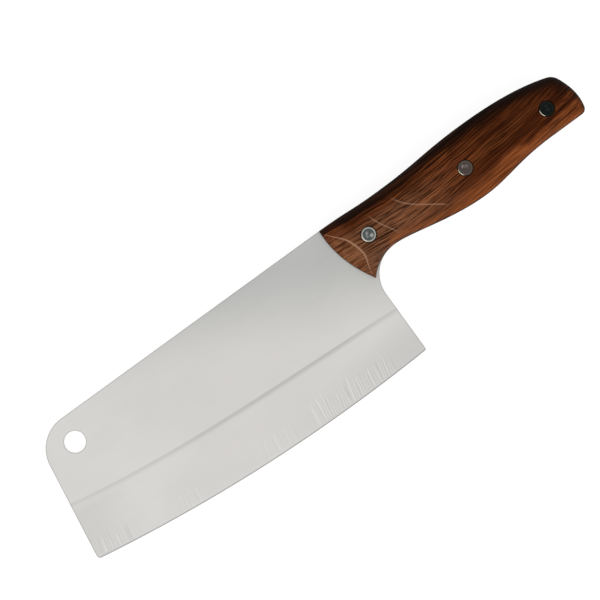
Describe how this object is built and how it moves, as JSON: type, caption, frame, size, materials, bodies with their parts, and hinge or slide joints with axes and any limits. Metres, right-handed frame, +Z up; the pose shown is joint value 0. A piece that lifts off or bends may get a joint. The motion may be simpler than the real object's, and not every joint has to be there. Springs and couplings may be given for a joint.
{
  "type": "cleaver",
  "caption": "Rectangular kitchen cleaver: full-tang ground steel blade with a hang hole, between riveted wooden grip scales.",
  "frame": {"origin": "on the table under the middle of the cleaver's box, as it lies on its side", "axes": "+X from the blade's front edge to the butt, +Y from the cutting edge to the spine, +Z up from the table"},
  "size_m": [0.2998, 0.0744, 0.025],
  "materials": {
    "blade_steel": "satin ground stainless steel",
    "rivet_steel": "pressed and polished steel",
    "rosewood": "red-brown hardwood with dark pores, satin lacquer"
  },
  "bodies": {
    "root": {"blade": "blade_steel", "scale_upper": "rosewood", "scale_lower": "rosewood", "rivet_front_socket": "rivet_steel", "rivet_front_pin": "rivet_steel", "rivet_middle_socket": "rivet_steel", "rivet_middle_pin": "rivet_steel", "rivet_rear_socket": "rivet_steel", "rivet_rear_pin": "rivet_steel"}
  },
  "joints": []
}
